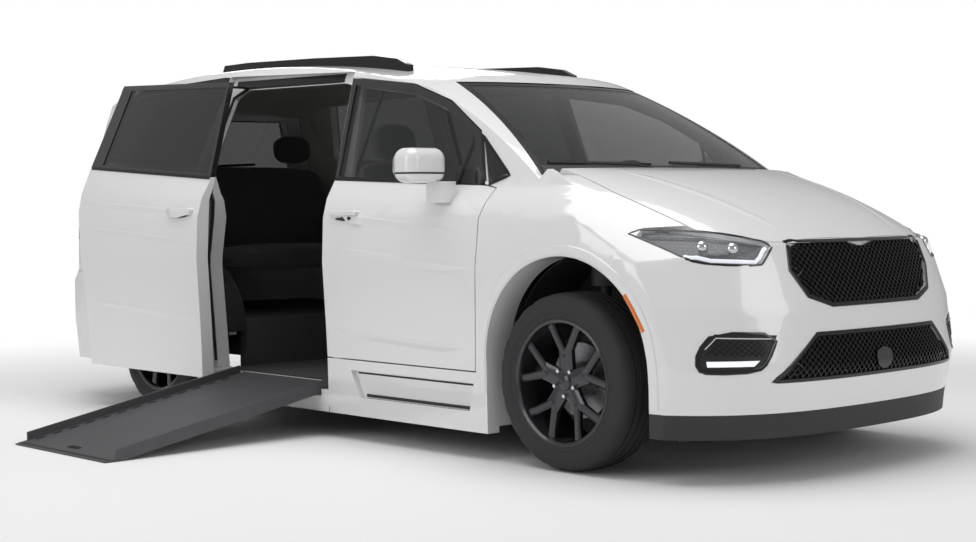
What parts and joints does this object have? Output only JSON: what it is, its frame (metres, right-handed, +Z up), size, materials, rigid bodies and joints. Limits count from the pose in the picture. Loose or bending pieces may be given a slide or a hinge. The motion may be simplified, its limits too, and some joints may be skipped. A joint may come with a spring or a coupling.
{
  "type": "wheelchair accessible van",
  "caption": "Side-entry wheelchair van with steered road wheels, hinged doors, bonnet and liftgate, an open sliding door and a fold-out ramp.",
  "frame": {"origin": "on the ground, on the centreline, midway between the axles", "axes": "+X forward, +Y to the left side, +Z up"},
  "size_m": [5.1676, 3.362, 1.9029],
  "materials": {
    "body_paint": "gloss white",
    "black_trim": "grained black",
    "black_gloss": "gloss black",
    "tinted_glass": "dark tinted",
    "clear_glass": "clear",
    "lamp_lens": "clear lens",
    "red_lens": "red lens",
    "tyre_rubber": "matt",
    "wheel_alloy": "dark painted alloy",
    "chassis_steel": "black coated",
    "floor_covering": "textured floor",
    "seat_fabric": "dark woven",
    "ramp_alloy": "dark coated",
    "engine_metal": "cast"
  },
  "bodies": {
    "root": {"bodyside_right": "body_paint", "bodyside_left": "body_paint", "roof_panel": "body_paint", "fenders": "body_paint", "cowl_panel": "black_trim", "front_fascia": "body_paint", "air_dam": "black_trim", "grilles": "black_gloss", "headlamps": "lamp_lens", "fog_lamps": "lamp_lens", "windshield": "clear_glass", "quarter_glass": "tinted_glass", "rear_fascia": "body_paint", "tail_lamps": "red_lens", "roof_rails": "black_gloss", "side_skirts": "body_paint", "sliding_door_right": "body_paint", "sliding_door_left": "body_paint", "sliding_glass": "tinted_glass", "floor_pan": "floor_covering", "wheel_liners": "black_trim", "front_structure": "chassis_steel", "engine_block": "engine_metal", "subframe": "chassis_steel", "rear_axle": "chassis_steel", "dashboard": "black_trim", "front_seats": "seat_fabric", "rear_bench": "seat_fabric"},
    "hood": {"hood_panel": "body_paint"},
    "liftgate": {"liftgate_panel": "body_paint", "liftgate_glass": "tinted_glass"},
    "front_door_right": {"front_door_right": "body_paint", "door_glass_right": "tinted_glass", "mirror_right": "body_paint"},
    "front_door_left": {"front_door_left": "body_paint", "door_glass_left": "tinted_glass", "mirror_left": "body_paint"},
    "knuckle_left": {"knuckle_left": "chassis_steel"},
    "knuckle_right": {"knuckle_right": "chassis_steel"},
    "steering_wheel": {"steering_wheel": "black_trim"},
    "ramp": {"ramp": "ramp_alloy"},
    "wheel_front_left": {"tyre_front_left": "tyre_rubber", "rim_front_left": "wheel_alloy"},
    "wheel_front_right": {"tyre_front_right": "tyre_rubber", "rim_front_right": "wheel_alloy"},
    "wheel_rear_left": {"tyre_rear_left": "tyre_rubber", "rim_rear_left": "wheel_alloy"},
    "wheel_rear_right": {"tyre_rear_right": "tyre_rubber", "rim_rear_right": "wheel_alloy"}
  },
  "joints": [
    {"name": "wheel_front_left_spin", "type": "hinge", "parent": "knuckle_left", "child": "wheel_front_left", "pos_m": [1.5445, 0.8675, 0.3765], "axis": [0, 1, 0], "continuous": true},
    {"name": "wheel_front_right_spin", "type": "hinge", "parent": "knuckle_right", "child": "wheel_front_right", "pos_m": [1.5445, -0.8675, 0.3765], "axis": [0, 1, 0], "continuous": true},
    {"name": "wheel_rear_left_spin", "type": "hinge", "parent": "root", "child": "wheel_rear_left", "pos_m": [-1.5445, 0.8675, 0.3765], "axis": [0, 1, 0], "continuous": true},
    {"name": "wheel_rear_right_spin", "type": "hinge", "parent": "root", "child": "wheel_rear_right", "pos_m": [-1.5445, -0.8675, 0.3765], "axis": [0, 1, 0], "continuous": true},
    {"name": "steer_left", "type": "hinge", "parent": "root", "child": "knuckle_left", "pos_m": [1.5445, 0.8, 0.3765], "axis": [0, 0, 1], "range_deg": [-32, 32]},
    {"name": "steer_right", "type": "hinge", "parent": "root", "child": "knuckle_right", "pos_m": [1.5445, -0.8, 0.3765], "axis": [0, 0, 1], "range_deg": [-32, 32]},
    {"name": "steering_wheel_turn", "type": "hinge", "parent": "root", "child": "steering_wheel", "pos_m": [0.64, 0.385, 1.165], "axis": [-0.8829, 0, 0.4695], "range_deg": [-520, 520]},
    {"name": "front_door_right_swing", "type": "hinge", "parent": "root", "child": "front_door_right", "pos_m": [1.06, -1.015, 1], "axis": [0, 0, 1], "range_deg": [0, 68]},
    {"name": "front_door_left_swing", "type": "hinge", "parent": "root", "child": "front_door_left", "pos_m": [1.06, 1.015, 1], "axis": [0, 0, -1], "range_deg": [0, 68]},
    {"name": "liftgate_lift", "type": "hinge", "parent": "root", "child": "liftgate", "pos_m": [-2.43, 0, 1.805], "axis": [0, 1, 0], "range_deg": [0, 85]},
    {"name": "hood_lift", "type": "hinge", "parent": "root", "child": "hood", "pos_m": [1.335, 0, 1.252], "axis": [0, -1, 0], "range_deg": [0, 45]},
    {"name": "ramp_fold", "type": "hinge", "parent": "root", "child": "ramp", "pos_m": [-0.4785, -0.88, 0.238], "axis": [-1, 0, 0], "range_deg": [0, 10]}
  ],
  "couplings": [
    {"joint": "steer_right", "follows": "steer_left", "ratio": 1},
    {"joint": "steering_wheel_turn", "follows": "steer_left", "ratio": 16}
  ]
}
